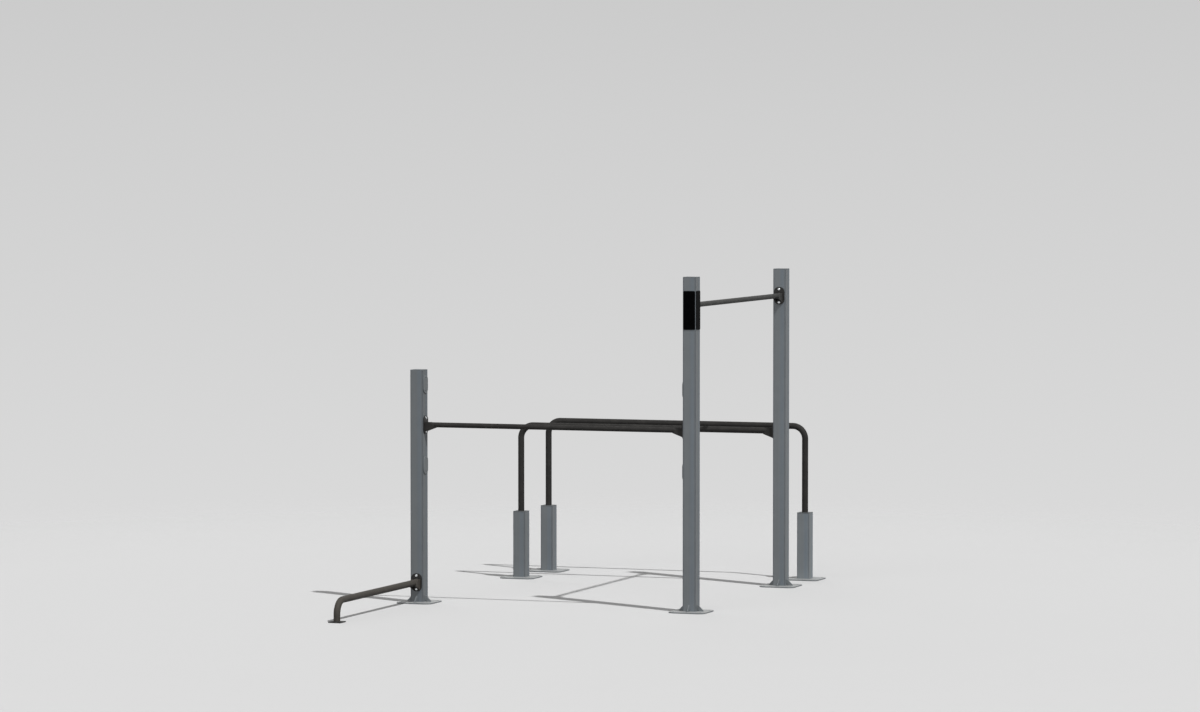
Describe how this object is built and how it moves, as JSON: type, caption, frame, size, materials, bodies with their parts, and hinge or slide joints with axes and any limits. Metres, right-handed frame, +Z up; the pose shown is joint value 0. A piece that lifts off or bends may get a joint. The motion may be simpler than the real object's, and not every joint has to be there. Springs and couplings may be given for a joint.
{
  "type": "calisthenics station",
  "caption": "Outdoor calisthenics station: square steel posts carry a pull-up bar and a low bar, with bent parallel bars on pedestals and a push-up bar near the ground",
  "frame": {"origin": "on the ground, under the middle of the front tall post", "axes": "+Z up; +Y along the pull-up bar, from the front tall post to the rear tall post; +X along the low bar, from the low post to the front tall post"},
  "size_m": [2.42, 4.517, 2.45],
  "materials": {
    "post_paint": "fine-textured blue-grey powder coat, satin",
    "bar_paint": "near-black powder coat, satin",
    "cap_plastic": "moulded grey plastic, satin",
    "zinc_bolts": "bright zinc",
    "sign_black": "black, satin, bare"
  },
  "bodies": {
    "root": {"far_left_pedestal": "post_paint", "far_left_pedestal_base_plate": "post_paint", "far_left_pedestal_guide_plate": "bar_paint", "far_left_pedestal_top_plate": "post_paint", "far_parallel_bar": "bar_paint", "far_right_pedestal": "post_paint", "far_right_pedestal_base_plate": "post_paint", "far_right_pedestal_guide_plate": "bar_paint", "far_right_pedestal_top_plate": "post_paint", "front_sign_plate": "sign_black", "front_tall_post": "post_paint", "front_tall_post_base_plate": "post_paint", "front_tall_post_cap": "cap_plastic", "front_tall_post_lower_blanking_plate": "post_paint", "front_tall_post_lower_blanking_plate_lower_screw": "post_paint", "front_tall_post_lower_blanking_plate_upper_screw": "post_paint", "front_tall_post_upper_blanking_plate": "post_paint", "front_tall_post_upper_blanking_plate_lower_screw": "post_paint", "front_tall_post_upper_blanking_plate_upper_screw": "post_paint", "low_bar": "bar_paint", "low_bar_left_bracket": "bar_paint", "low_bar_left_lower_bolt": "zinc_bolts", "low_bar_left_upper_bolt": "zinc_bolts", "low_bar_right_bracket": "bar_paint", "low_bar_right_lower_bolt": "zinc_bolts", "low_bar_right_upper_bolt": "zinc_bolts", "low_post": "post_paint", "low_post_base_plate": "post_paint", "low_post_cap": "cap_plastic", "low_post_lower_blanking_plate": "post_paint", "low_post_lower_blanking_plate_lower_screw": "post_paint", "low_post_lower_blanking_plate_upper_screw": "post_paint", "low_post_upper_blanking_plate": "post_paint", "low_post_upper_blanking_plate_lower_screw": "post_paint", "low_post_upper_blanking_plate_upper_screw": "post_paint", "near_parallel_bar": "bar_paint", "near_parallel_bar_bracket": "bar_paint", "near_parallel_bar_lower_bolt": "zinc_bolts", "near_parallel_bar_upper_bolt": "zinc_bolts", "near_pedestal": "post_paint", "near_pedestal_base_plate": "post_paint", "near_pedestal_guide_plate": "bar_paint", "near_pedestal_top_plate": "post_paint", "pull_up_bar": "bar_paint", "pull_up_bar_front_bracket": "bar_paint", "pull_up_bar_front_lower_bolt": "zinc_bolts", "pull_up_bar_front_upper_bolt": "zinc_bolts", "pull_up_bar_rear_bracket": "bar_paint", "pull_up_bar_rear_lower_bolt": "zinc_bolts", "pull_up_bar_rear_upper_bolt": "zinc_bolts", "push_up_bar": "bar_paint", "push_up_bar_bracket": "bar_paint", "push_up_bar_foot_plate": "bar_paint", "push_up_bar_lower_bolt": "zinc_bolts", "push_up_bar_upper_bolt": "zinc_bolts", "rear_tall_post": "post_paint", "rear_tall_post_base_plate": "post_paint", "rear_tall_post_cap": "cap_plastic", "side_sign_plate": "sign_black"}
  },
  "joints": []
}
